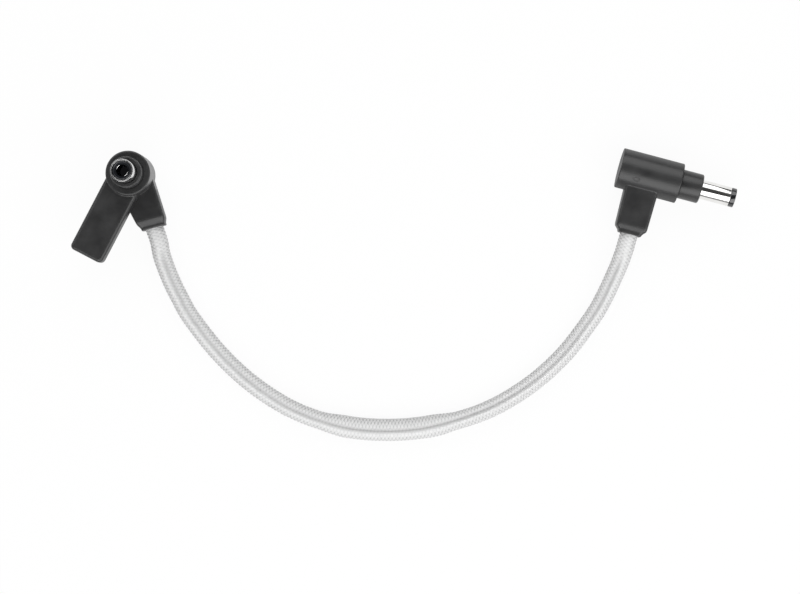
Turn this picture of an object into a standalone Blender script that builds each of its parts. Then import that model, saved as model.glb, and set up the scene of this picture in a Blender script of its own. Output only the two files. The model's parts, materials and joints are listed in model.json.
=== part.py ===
"""A short braided lead with a swivelling right-angle barrel plug at one end and a plain one at the other.

Each plug is built about its own axis: local Z runs from its rear end to its tip, and local X runs
along its cord leg. The swivelling plug stands on its rear end and the plain one lies on its side.
"""

import math

import bmesh
import bpy
from mathutils import Matrix, Vector

MM = 0.001

# Clearances
FIT = 0.1 * MM  # round pieces that are pressed or moulded together
SEAT = 0.25 * MM  # faces that meet
CORD_CLEAR = 0.15 * MM  # cord in the mouth of a leg
RUN_RADIAL = 0.1 * MM  # spindle in the elbow, rod and bush in the fixed contacts
RUN_AXIAL = 0.3 * MM  # head over the elbow
MERGE = 0.00001

# Lengths along the axis that both plugs share
BODY_LENGTH = 17.8 * MM
NOSE_LENGTH = 6.2 * MM
BARREL_LENGTH = 10.0 * MM
SLEEVE_SET_BACK = 3.2 * MM  # the sleeve's wide part starts this far behind the body's front
CONTACT_ROOT = 0.75 * MM  # the contact tube starts this far behind the nose's front
BORE_FLOOR = 1.0 * MM

# Barrel pieces
SLEEVE_WALL = 0.4 * MM
SLOT_WIDTH = 0.7 * MM
SLOT_DEG = 168.6
SLOT_DEPTH = 6.5 * MM
ROD_D = 1.6 * MM
NOSE_EDGE = 0.4 * MM
BODY_EDGE = 0.35 * MM

# Swivelling plug
SWIVEL_X = -78.27 * MM
SWIVEL_Y = 8.69 * MM
HEAD_D = 12.6 * MM
ELBOW_D = 12.4 * MM
SWIVEL_NOSE_D = 8.8 * MM
SWIVEL_SLEEVE_D = 6.3 * MM
SWIVEL_TAIL_TUBE_D = 4.4 * MM
SWIVEL_BORE_D = 3.0 * MM
SWIVEL_CONTACT_WALL = 0.5 * MM
SWIVEL_CORE_WALL = 0.95 * MM
SWIVEL_TIP_RECESS = 0.3 * MM  # insulator behind the sleeve's rim
SWIVEL_MOUTH_LEAD = 0.7 * MM
SWIVEL_CONTACT_SET_BACK = 1.6 * MM  # centre contact behind the barrel's front
ELBOW_HEIGHT = 8.6 * MM
WEB_THICKNESS = 1.8 * MM
COVER_THICKNESS = 1.0 * MM
COVER_LEDGE = 0.5 * MM
CAVITY_D = 9.6 * MM
HUB_D = 6.4 * MM
HUB_LENGTH = 4.0 * MM
RING_THICKNESS = 0.7 * MM
RING_WIDTH = 1.5 * MM
RING_MOUTH_DEG = 70
RING_LIP = 0.8 * MM  # what is left of the hub below the ring's groove
GROOVE_DEPTH = 0.5 * MM
SEAL_D = 9.4 * MM
SEAL_CORD = 1.0 * MM
SLIP_RING_THICKNESS = 0.5 * MM
SLIP_RING_D = 6.0 * MM
WIPER_THICKNESS = 0.6 * MM
WIPER_D = 6.8 * MM
CLIP_WALL = 0.6 * MM
CARRIER_NOTCH = 4.4 * MM

# Arms of the swivelling plug
TAIL_DEG = 242.4
TAIL_REACH = 26.3 * MM
TAIL_WIDTH = 10.0 * MM
TAIL_OFFSET = -0.2 * MM  # tail beside the head's axis
TAIL_DRAFT = 0.15 * MM
TAIL_LIFT = 0.2 * MM  # tail above the head's back
TAIL_THICKNESS = 5.8 * MM
TAIL_CORNER = 1.3 * MM
SWIVEL_LEG_DEG = 292.5
SWIVEL_LEG_REACH = 16.4 * MM
SWIVEL_LEG_ROOT_WIDTH = 10.9 * MM
SWIVEL_LEG_FOLD_WIDTH = 8.2 * MM
SWIVEL_LEG_END_WIDTH = 6.9 * MM
SWIVEL_LEG_LIFT = 0.4 * MM
SWIVEL_LEG_DROP = 0.2 * MM  # leg below the elbow's front
SWIVEL_LEG_BEVEL = 0.8 * MM
SWIVEL_LEG_SKEW_DEG = 7.0  # end of the leg, out of square
LEG_FOLD = 1.8 * MM
LEG_EDGE = 0.4 * MM

# Plain plug
PLAIN_X = 60.77 * MM
PLAIN_Y = 10.80 * MM
PLAIN_AXIS_DEG = -14.9
PLAIN_D = 11.5 * MM
PLAIN_NOSE_D = 8.4 * MM
PLAIN_SLEEVE_D = 5.5 * MM
PLAIN_TAIL_TUBE_D = 4.0 * MM
PLAIN_BORE_D = 2.5 * MM
PLAIN_CONTACT_WALL = 0.45 * MM
PLAIN_CORE_WALL = 0.75 * MM
PLAIN_TIP_LENGTH = 1.5 * MM  # insulator before the sleeve's rim
PLAIN_MOUTH_LEAD = 0.35 * MM
PLAIN_CONTACT_SET_BACK = 0.55 * MM
PLAIN_CORE_SET_BACK = 9.1 * MM  # inner mould behind the body's front
PLAIN_REAR_WALL = 2.0 * MM
PLAIN_TUBE_REACH = 2.1 * MM  # tail tube behind the inner mould
PLAIN_ROD_REACH = 2.6 * MM  # contact's rod behind the tail tube
PLAIN_LEG_AXIS = 7.55 * MM
PLAIN_LEG_REACH = 17.8 * MM
PLAIN_LEG_ROOT_WIDTH = 9.7 * MM
PLAIN_LEG_FOLD_WIDTH = 9.0 * MM
PLAIN_LEG_END_WIDTH = 6.4 * MM
PLAIN_LEG_ROOT_DEPTH = 7.4 * MM
PLAIN_LEG_FOLD_DEPTH = 7.4 * MM
PLAIN_LEG_END_DEPTH = 6.5 * MM
LUG_THICKNESS = 0.5 * MM
LUG_WIDTH = 0.9 * MM
LUG_SET_BACK = 0.6 * MM

# Cord and what it ends in inside each leg
CORD_D = 5.2 * MM
CORD_SOCKET = 2.5 * MM
CORD_END_LENGTH = 4.0 * MM
CRIMP_WALL = 0.5 * MM
CRIMP_LENGTH = 3.0 * MM
SWIVEL_PASSAGE_D = 4.6 * MM
WIRE_D = 1.4 * MM
WIRE_CLEAR = 0.2 * MM  # wires in the plain plug's passage
WIRE_STRAIGHT = 0.8 * MM
WIRE_SPREAD = 1.8 * MM  # between the two wires' axes
SOLDER_D = 0.9 * MM
TAB_WIDTH = 1.0 * MM
TAB_THICKNESS = 0.4 * MM
CORD_STEP = 2.0  # tube points are this many diameters apart

# The cord's way over the surface, between its two legs
CORD_ROUTE = [
    Vector(point) * MM
    for point in (
        (-70.7, -10.3, 4.3),
        (-69.8, -14.8, 3.6),
        (-67.6, -20.8, 2.95),
        (-64.8, -26.6, 2.63),
        (-61.5, -32.3, 2.6),
        (-53.3, -42.6, 2.6),
        (-43.3, -51.7, 2.6),
        (-31.5, -58.9, 2.6),
        (-18.2, -63.1, 2.6),
        (-4.3, -64.2, 2.6),
        (9.5, -62.7, 2.6),
        (22.8, -58.7, 2.6),
        (34.8, -51.8, 2.6),
        (44.9, -42.9, 2.6),
        (53.1, -32.3, 2.63),
        (56.4, -26.7, 2.95),
        (59.1, -20.9, 3.8),
        (61.5, -15, 5),
    )
]

OUTER_SEGMENTS = 48
INNER_SEGMENTS = 24

# Heights and radii that several pieces share
NOSE_TOP = BODY_LENGTH + NOSE_LENGTH
BARREL_TOP = NOSE_TOP + BARREL_LENGTH
PLAIN_SLEEVE_TOP = BARREL_TOP - PLAIN_TIP_LENGTH
SLEEVE_SHOULDER = BODY_LENGTH - SLEEVE_SET_BACK
CONTACT_LOW = NOSE_TOP - CONTACT_ROOT
HEAD_LOW = ELBOW_HEIGHT + RUN_AXIAL
HUB_LOW = HEAD_LOW - HUB_LENGTH
WEB_LOW = ELBOW_HEIGHT - WEB_THICKNESS
CARRIER_LOW = COVER_THICKNESS + SEAT
SLIP_RING_TOP = HUB_LOW - FIT
SLIP_RING_LOW = SLIP_RING_TOP - SLIP_RING_THICKNESS
WIPER_TOP = SLIP_RING_LOW - RUN_RADIAL
WIPER_LOW = WIPER_TOP - WIPER_THICKNESS
CARRIER_TOP = WIPER_LOW - SEAT
SWIVEL_BUSH_LOW = CARRIER_TOP + RUN_RADIAL
SWIVEL_ROD_END = CARRIER_LOW + FIT
SWIVEL_LEG_TOP = ELBOW_HEIGHT - SWIVEL_LEG_DROP
SWIVEL_LEG_AXIS = (SWIVEL_LEG_LIFT + SWIVEL_LEG_TOP) / 2
PLAIN_CORE_LOW = BODY_LENGTH - PLAIN_CORE_SET_BACK
PLAIN_TUBE_END = PLAIN_CORE_LOW - PLAIN_TUBE_REACH
PLAIN_BUSH_LOW = PLAIN_TUBE_END - SEAT
PLAIN_ROD_END = PLAIN_TUBE_END - PLAIN_ROD_REACH
BEYOND = 1.0 * MM  # how far a cutter runs past the face that it opens


def clear_scene():
    for obj in list(bpy.data.objects):
        bpy.data.objects.remove(obj)


def new_collection(name):
    group = bpy.data.collections.new(name)
    bpy.context.scene.collection.children.link(group)
    return group


def new_material(name, colour, roughness, metallic=0.0):
    material = bpy.data.materials.new(name)
    material.use_nodes = True
    shader = material.node_tree.nodes["Principled BSDF"]
    shader.inputs["Base Color"].default_value = (*colour, 1)
    shader.inputs["Roughness"].default_value = roughness
    shader.inputs["Metallic"].default_value = metallic
    return material


def new_frame(name, place, leg_direction, axis):
    """An empty at a plug's rear end, with Z along the plug's axis and X along one of its arms."""
    frame = bpy.data.objects.new(name, None)
    parts.objects.link(frame)
    side = axis.cross(leg_direction)
    turn = Matrix((leg_direction, side, axis)).transposed().to_4x4()
    frame.matrix_world = Matrix.Translation(place) @ turn
    return frame


def new_object(name, data, frame, material=None):
    """A part when it has a material, and otherwise a tool that shapes parts."""
    obj = bpy.data.objects.new(name, data)
    obj.parent = frame
    if material:
        data.materials.append(material)
        parts.objects.link(obj)
    else:
        obj.hide_render = True
        obj.display_type = "WIRE"
        cutters.objects.link(obj)
    return obj


def mesh_object(name, bm, frame, material=None):
    bmesh.ops.recalc_face_normals(bm, faces=bm.faces)
    mesh = bpy.data.meshes.new(name)
    bm.to_mesh(mesh)
    bm.free()
    return new_object(name, mesh, frame, material)


def combine(obj, tool, operation):
    step = obj.modifiers.new(tool.name, "BOOLEAN")
    step.operation = operation
    step.object = tool
    step.solver = "EXACT"


def turned(name, profile, frame, material=None, segments=INNER_SEGMENTS, closed=False, leg_axis=None):
    """Turn (radius, height) points, which run down the outer side, about local Z or a leg's axis.

    A cutter starts a third of a step round, so that none of its edges falls on an edge of a part.
    """
    mesh = bpy.data.meshes.new(name)
    start = 0 if material else 2 * math.pi / segments / 3
    corners = [(radius * math.cos(start), radius * math.sin(start), height) for radius, height in profile]
    edges = [(i, i + 1) for i in range(len(corners) - 1)]
    if closed:
        edges.append((len(corners) - 1, 0))
    mesh.from_pydata(corners, edges, [])
    obj = new_object(name, mesh, frame, material)
    if leg_axis is not None:
        obj.location.z = leg_axis
        obj.rotation_euler.y = math.pi / 2
    screw = obj.modifiers.new("Turn", "SCREW")
    screw.steps = segments
    screw.render_steps = segments
    screw.use_merge_vertices = True
    screw.merge_threshold = MERGE
    return obj


def disc(radius, low, high):
    return [(0, high), (radius, high), (radius, low), (0, low)]


def ring(inner, outer, low, high):
    return [(outer, high), (outer, low), (inner, low), (inner, high)]


def block(name, low, high, frame, material=None):
    """A box between two corners."""
    bm = bmesh.new()
    bmesh.ops.create_cube(bm, size=1)
    bmesh.ops.scale(bm, vec=high - low, verts=bm.verts)
    bmesh.ops.translate(bm, vec=(low + high) / 2, verts=bm.verts)
    return mesh_object(name, bm, frame, material)


def round_edges(obj, width):
    bevel = obj.modifiers.new("Edges", "BEVEL")
    bevel.width = width
    bevel.segments = 2
    bevel.limit_method = "ANGLE"
    bevel.angle_limit = math.radians(25)


def leg_form(name, frame, root, fold, end, skew=0.0):
    """A tapered leg through three sections, each (x, half width along Y, lowest Z, highest Z).

    The skew is how much further the fold and the end reach for each step along Y.
    """
    bm = bmesh.new()
    bmesh.ops.create_cube(bm, size=1)

    def fit(corners, section, middle, slant):
        x, half_width, low, high = section
        for corner in corners:
            side = math.copysign(half_width, corner.co.y)
            corner.co = (x + slant * side, side, high if corner.co.z > middle else low)

    outer = max(bm.faces, key=lambda face: face.calc_center_median().x)
    fit([corner for corner in bm.verts if corner.co.x < 0], root, 0, 0)
    fit(outer.verts, fold, 0, skew)
    outer = bmesh.ops.extrude_discrete_faces(bm, faces=[outer])["faces"][0]
    fit(outer.verts, end, (fold[2] + fold[3]) / 2, skew)
    leg = mesh_object(name, bm, frame)
    round_edges(leg, LEG_EDGE)
    return leg


def tail_form(name, frame):
    """The flat tail of the swivelling head, a little wider at its back and round at its far corners."""
    bm = bmesh.new()
    bmesh.ops.create_cube(bm, size=1)
    for corner in bm.verts:
        front = corner.co.z > 0
        half_width = TAIL_WIDTH / 2 + (0 if front else TAIL_DRAFT)
        corner.co = (
            TAIL_REACH if corner.co.x > 0 else 0,
            TAIL_OFFSET + math.copysign(half_width, corner.co.y),
            HEAD_LOW + TAIL_LIFT + (TAIL_THICKNESS if front else 0),
        )
    far = [
        edge
        for edge in bm.edges
        if all(corner.co.x > TAIL_REACH / 2 for corner in edge.verts)
        and abs(edge.verts[0].co.z - edge.verts[1].co.z) > TAIL_THICKNESS / 2
    ]
    bmesh.ops.bevel(bm, geom=far, offset=TAIL_CORNER, segments=4, profile=0.5, affect="EDGES")
    tail = mesh_object(name, bm, frame)
    round_edges(tail, BODY_EDGE)
    return tail


def barrel(side, frame, sizes):
    """Sleeve, tip insulator, centre contact and rear bush of one plug.

    Each height or length is along the plug's axis: of the sleeve's rim, the insulator's front, the
    contact's front, the ends of the tail tube, the bush and the rod, and across for the mouth's lead.
    """
    sleeve_d, tube_d, bore_d, contact_wall, lead, sleeve_top, tip_top, contact_top, *rear_ends = sizes
    tube_end, bush_low, rod_end = rear_ends
    sleeve_out = sleeve_d / 2
    sleeve_in = sleeve_out - SLEEVE_WALL
    tube_out = tube_d / 2
    tube_in = tube_out - SLEEVE_WALL
    contact_in = bore_d / 2
    contact_out = contact_in + contact_wall
    rod = ROD_D / 2
    inner_floor = SLEEVE_SHOULDER + SLEEVE_WALL

    sleeve = [
        (sleeve_out, sleeve_top),
        (sleeve_out, SLEEVE_SHOULDER),
        (tube_out, SLEEVE_SHOULDER),
        (tube_out, tube_end),
        (tube_in, tube_end),
        (tube_in, inner_floor),
        (sleeve_in, inner_floor),
        (sleeve_in, sleeve_top),
    ]
    turned(f"{side}_barrel_sleeve", sleeve, frame, NICKEL, closed=True)

    tip_front = [(sleeve_in - FIT, tip_top)]
    if tip_top > sleeve_top:
        tip_front = [
            (sleeve_out - NOSE_EDGE / 2, tip_top),
            (sleeve_out, tip_top - NOSE_EDGE / 2),
            (sleeve_out, sleeve_top + FIT),
            (sleeve_in - FIT, sleeve_top + FIT),
        ]
    tip = [
        *tip_front,
        (sleeve_in - FIT, CONTACT_LOW + SEAT),
        (contact_out + FIT, CONTACT_LOW + SEAT),
        (contact_out + FIT, contact_top + FIT),
        (contact_in + FIT, contact_top + FIT),
        (contact_in + FIT + lead, tip_top),
    ]
    turned(f"{side}_tip_insulator", tip, frame, TIP_PLASTIC, closed=True)

    contact = [
        (contact_out, contact_top),
        (contact_out, CONTACT_LOW),
        (rod, CONTACT_LOW),
        (rod, rod_end),
        (0, rod_end),
    ]
    bore = [(0, CONTACT_LOW + BORE_FLOOR), (contact_in, CONTACT_LOW + BORE_FLOOR), (contact_in, contact_top)]
    spring = turned(f"{side}_centre_contact", bore + contact, frame, NICKEL)
    slot_low = Vector((-contact_out - FIT, -SLOT_WIDTH / 2, contact_top - SLOT_DEPTH))
    slot_high = Vector((contact_out + FIT, SLOT_WIDTH / 2, contact_top + BEYOND))
    slot = block(f"{side}_contact_slot", slot_low, slot_high, frame)
    slot.rotation_euler.z = math.radians(SLOT_DEG)
    combine(spring, slot, "DIFFERENCE")

    bush = [
        (sleeve_in - FIT, CONTACT_LOW - FIT),
        (sleeve_in - FIT, inner_floor + FIT),
        (tube_in - FIT, inner_floor + FIT),
        (tube_in - FIT, bush_low),
        (rod + FIT, bush_low),
        (rod + FIT, CONTACT_LOW - FIT),
    ]
    turned(f"{side}_rear_bush", bush, frame, PALE_PLASTIC, closed=True)


def cord_end(side, frame, reach, leg_axis):
    """The end of the cord inside a leg, with the ring that is crimped round it."""
    front = reach - CORD_SOCKET - SEAT
    back = front - CORD_END_LENGTH
    middle = (front + back) / 2
    stub = disc(CORD_D / 2, back, front)
    turned(f"{side}_cord_end", stub, frame, BRAID, leg_axis=leg_axis)
    inner = CORD_D / 2 + FIT
    crimp = ring(inner, inner + CRIMP_WALL, middle - CRIMP_LENGTH / 2, middle + CRIMP_LENGTH / 2)
    turned(f"{side}_crimp_ring", crimp, frame, BRASS, closed=True, leg_axis=leg_axis)


def cut_leg(body, side, frame, reach, leg_axis, passage_axis, passage_r):
    """Open a leg for the cord's end, its crimp ring and the wires behind them."""
    front = reach - CORD_SOCKET - SEAT
    back = front - CORD_END_LENGTH
    pocket_r = CORD_D / 2 + CRIMP_WALL + 2 * FIT
    socket_r = CORD_D / 2 + CORD_CLEAR
    pocket = [
        (0, reach + BEYOND),
        (socket_r, reach + BEYOND),
        (socket_r, front - FIT),
        (pocket_r, front - FIT),
        (pocket_r, back - FIT),
        (0, back - FIT),
    ]
    combine(body, turned(f"{side}_leg_pocket", pocket, frame, leg_axis=leg_axis), "DIFFERENCE")
    passage = disc(passage_r, passage_r, back + FIT)
    combine(body, turned(f"{side}_wire_passage", passage, frame, leg_axis=passage_axis), "DIFFERENCE")
    return back


def wire(name, frame, start, end, material):
    """An insulated wire between two places, square to both, as an eight-sided tube with closed ends."""
    curve = bpy.data.curves.new(name, "CURVE")
    curve.dimensions = "3D"
    curve.bevel_depth = WIRE_D / 2
    curve.bevel_resolution = 2
    curve.use_fill_caps = True
    straight = Vector((WIRE_STRAIGHT, 0, 0))
    places = (start, start + straight, end - straight, end)
    spline = curve.splines.new("POLY")
    spline.points.add(len(places) - 1)
    for point, place in zip(spline.points, places):
        point.co = (*place, 1)
    new_object(name, curve, frame, material)


def solder(name, frame, place):
    bm = bmesh.new()
    bmesh.ops.create_uvsphere(bm, u_segments=12, v_segments=8, radius=SOLDER_D / 2)
    bmesh.ops.translate(bm, vec=place, verts=bm.verts)
    mesh_object(name, bm, frame, SOLDER)


def tab(name, frame, inner, outer, side, low):
    """A flat tab along local X, on one side of the axis."""
    y = side * WIRE_SPREAD / 2
    start = Vector((inner, y - TAB_WIDTH / 2, low))
    finish = Vector((outer, y + TAB_WIDTH / 2, low + TAB_THICKNESS))
    return block(name, start, finish, frame)


def elbow():
    """Rear half of the swivelling plug: the cup with its cord leg, its cover, seal and fixed contacts."""
    radius = ELBOW_D / 2
    outline = [
        (0, ELBOW_HEIGHT),
        (radius - BODY_EDGE, ELBOW_HEIGHT),
        (radius, ELBOW_HEIGHT - BODY_EDGE),
        (radius, BODY_EDGE),
        (radius - BODY_EDGE, 0),
        (0, 0),
    ]
    body = turned("elbow_body", outline, elbow_frame, BLACK_PVC, OUTER_SEGMENTS)
    fold_x = SWIVEL_LEG_REACH - LEG_FOLD
    low = SWIVEL_LEG_LIFT
    root = (0, SWIVEL_LEG_ROOT_WIDTH / 2, low, SWIVEL_LEG_TOP)
    fold = (fold_x, SWIVEL_LEG_FOLD_WIDTH / 2, low, SWIVEL_LEG_TOP)
    end = (
        SWIVEL_LEG_REACH,
        SWIVEL_LEG_END_WIDTH / 2,
        low + SWIVEL_LEG_BEVEL,
        SWIVEL_LEG_TOP - SWIVEL_LEG_BEVEL,
    )
    skew = math.tan(math.radians(SWIVEL_LEG_SKEW_DEG))
    combine(body, leg_form("elbow_leg_form", elbow_frame, root, fold, end, skew), "UNION")

    ledge = COVER_THICKNESS + FIT
    recess_r = CAVITY_D / 2 + COVER_LEDGE
    bearing_r = HUB_D / 2 + RUN_RADIAL
    cavity = [
        (0, ELBOW_HEIGHT + BEYOND),
        (bearing_r, ELBOW_HEIGHT + BEYOND),
        (bearing_r, WEB_LOW),
        (CAVITY_D / 2, WEB_LOW),
        (CAVITY_D / 2, ledge),
        (recess_r, ledge),
        (recess_r, -BEYOND),
        (0, -BEYOND),
    ]
    combine(body, turned("elbow_cavity", cavity, elbow_frame, segments=OUTER_SEGMENTS), "DIFFERENCE")
    half_groove = SEAL_CORD / 2 + FIT
    seal_floor = ELBOW_HEIGHT - SEAL_CORD - FIT
    groove = ring(SEAL_D / 2 - half_groove, SEAL_D / 2 + half_groove, seal_floor, ELBOW_HEIGHT + BEYOND)
    combine(body, turned("elbow_seal_groove", groove, elbow_frame, closed=True), "DIFFERENCE")
    leg = (SWIVEL_LEG_REACH, SWIVEL_LEG_AXIS, SWIVEL_LEG_AXIS, SWIVEL_PASSAGE_D / 2)
    back = cut_leg(body, "swivel", elbow_frame, *leg)

    seal_r = SEAL_CORD / 2
    seal = [
        (
            SEAL_D / 2 + seal_r * math.cos(math.pi / 4 * step),
            ELBOW_HEIGHT - seal_r - seal_r * math.sin(math.pi / 4 * step),
        )
        for step in range(8)
    ]
    turned("swivel_seal_ring", seal, elbow_frame, RUBBER, closed=True)
    cover = disc(recess_r - FIT, 0, COVER_THICKNESS)
    turned("elbow_rear_cover", cover, elbow_frame, BLACK_PVC)

    clip_in = ROD_D / 2 + RUN_RADIAL
    clip_out = clip_in + CLIP_WALL
    carrier = ring(clip_out + FIT, CAVITY_D / 2 - FIT, CARRIER_LOW, CARRIER_TOP)
    holder = turned("contact_carrier", carrier, elbow_frame, PALE_PLASTIC, closed=True)
    half_notch = CARRIER_NOTCH / 2
    notch_low = Vector((0, -half_notch, CARRIER_LOW - BEYOND))
    notch_high = Vector((CAVITY_D, half_notch, CARRIER_TOP + BEYOND))
    combine(holder, block("carrier_notch", notch_low, notch_high, elbow_frame), "DIFFERENCE")

    tab_end = CAVITY_D / 2 - TAB_THICKNESS
    clip_ring = ring(clip_in, clip_out, CARRIER_LOW, CARRIER_TOP)
    clip = turned("centre_pin_clip", clip_ring, elbow_frame, BRASS, closed=True)
    clip_tab_low = CARRIER_TOP - TAB_THICKNESS - FIT
    combine(clip, tab("clip_tab", elbow_frame, clip_in + CLIP_WALL / 2, tab_end, 1, clip_tab_low), "UNION")
    tube_in = SWIVEL_TAIL_TUBE_D / 2 - SLEEVE_WALL
    wiper_in = tube_in + RUN_RADIAL
    wiper_ring = ring(wiper_in, WIPER_D / 2, WIPER_LOW, WIPER_TOP)
    wiper = turned("ring_wiper", wiper_ring, elbow_frame, BRASS, closed=True)
    wiper_tab = tab("wiper_tab", elbow_frame, (wiper_in + WIPER_D / 2) / 2, tab_end, -1, WIPER_LOW)
    combine(wiper, wiper_tab, "UNION")

    cord_end("swivel", elbow_frame, SWIVEL_LEG_REACH, SWIVEL_LEG_AXIS)
    solder_r = SOLDER_D / 2
    joint_x = tab_end - solder_r
    spread = WIRE_SPREAD / 2
    wires = (
        ("positive", 1, clip_tab_low + TAB_THICKNESS, RED_PVC),
        ("negative", -1, WIPER_LOW + TAB_THICKNESS, DARK_PVC),
    )
    for pole, side, tab_top, colour in wires:
        height = tab_top + FIT + solder_r
        solder(f"swivel_{pole}_solder", elbow_frame, Vector((joint_x, side * spread, height)))
        start = Vector((joint_x + solder_r + FIT, side * spread, height))
        end = Vector((back - FIT, side * spread, SWIVEL_LEG_AXIS))
        wire(f"swivel_{pole}_wire", elbow_frame, start, end, colour)


def swivel_head():
    """Front half of the swivelling plug: the head with its tail, the spindle and the barrel."""
    radius = HEAD_D / 2
    core = SWIVEL_SLEEVE_D / 2 + FIT + SWIVEL_CORE_WALL
    outline = [
        (radius - BODY_EDGE, BODY_LENGTH),
        (radius, BODY_LENGTH - BODY_EDGE),
        (radius, HEAD_LOW + BODY_EDGE),
        (radius - BODY_EDGE, HEAD_LOW),
        (0, HEAD_LOW),
    ]
    shell = turned("head_shell", [(0, BODY_LENGTH), *outline], head_frame, BLACK_PVC, OUTER_SEGMENTS)
    combine(shell, tail_form("head_tail_form", head_frame), "UNION")
    bore = disc(core + FIT, HEAD_LOW - BEYOND, BODY_LENGTH + BEYOND)
    combine(shell, turned("head_bore", bore, head_frame, segments=OUTER_SEGMENTS), "DIFFERENCE")

    nose = SWIVEL_NOSE_D / 2
    hub = HUB_D / 2
    groove = hub - GROOVE_DEPTH
    groove_low = HUB_LOW + RING_LIP
    groove_top = groove_low + RING_THICKNESS + 2 * FIT
    tube_bore = SWIVEL_TAIL_TUBE_D / 2 + FIT
    sleeve_bore = SWIVEL_SLEEVE_D / 2 + FIT
    spindle = [
        (nose - NOSE_EDGE, NOSE_TOP),
        (nose, NOSE_TOP - NOSE_EDGE),
        (nose, BODY_LENGTH + FIT),
        (core, BODY_LENGTH + FIT),
        (core, HEAD_LOW),
        (hub, HEAD_LOW),
        (hub, groove_top),
        (groove, groove_top),
        (groove, groove_low),
        (hub, groove_low),
        (hub, HUB_LOW),
        (tube_bore, HUB_LOW),
        (tube_bore, SLEEVE_SHOULDER - FIT),
        (sleeve_bore, SLEEVE_SHOULDER - FIT),
        (sleeve_bore, NOSE_TOP),
    ]
    turned("head_spindle", spindle, head_frame, BLACK_NYLON, OUTER_SEGMENTS, closed=True)

    sizes = (
        SWIVEL_SLEEVE_D,
        SWIVEL_TAIL_TUBE_D,
        SWIVEL_BORE_D,
        SWIVEL_CONTACT_WALL,
        SWIVEL_MOUTH_LEAD,
        BARREL_TOP,
        BARREL_TOP - SWIVEL_TIP_RECESS,
        BARREL_TOP - SWIVEL_CONTACT_SET_BACK,
        HUB_LOW,
        SWIVEL_BUSH_LOW,
        SWIVEL_ROD_END,
    )
    barrel("swivel", head_frame, sizes)
    tube_in = SWIVEL_TAIL_TUBE_D / 2 - SLEEVE_WALL
    slip = ring(tube_in, SLIP_RING_D / 2, SLIP_RING_LOW, SLIP_RING_TOP)
    turned("slip_ring", slip, head_frame, BRASS, closed=True)

    ring_low = groove_low + FIT
    clip = ring(groove + FIT, groove + FIT + RING_WIDTH, ring_low, ring_low + RING_THICKNESS)
    retainer = turned("retaining_ring", clip, head_frame, STEEL, closed=True)
    reach = groove + FIT + RING_WIDTH + BEYOND
    half_mouth = groove * math.sin(math.radians(RING_MOUTH_DEG / 2))
    mouth_low = Vector((-reach, -half_mouth, ring_low - BEYOND))
    mouth_high = Vector((0, half_mouth, ring_low + RING_THICKNESS + BEYOND))
    combine(retainer, block("retaining_ring_mouth", mouth_low, mouth_high, head_frame), "DIFFERENCE")


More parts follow.
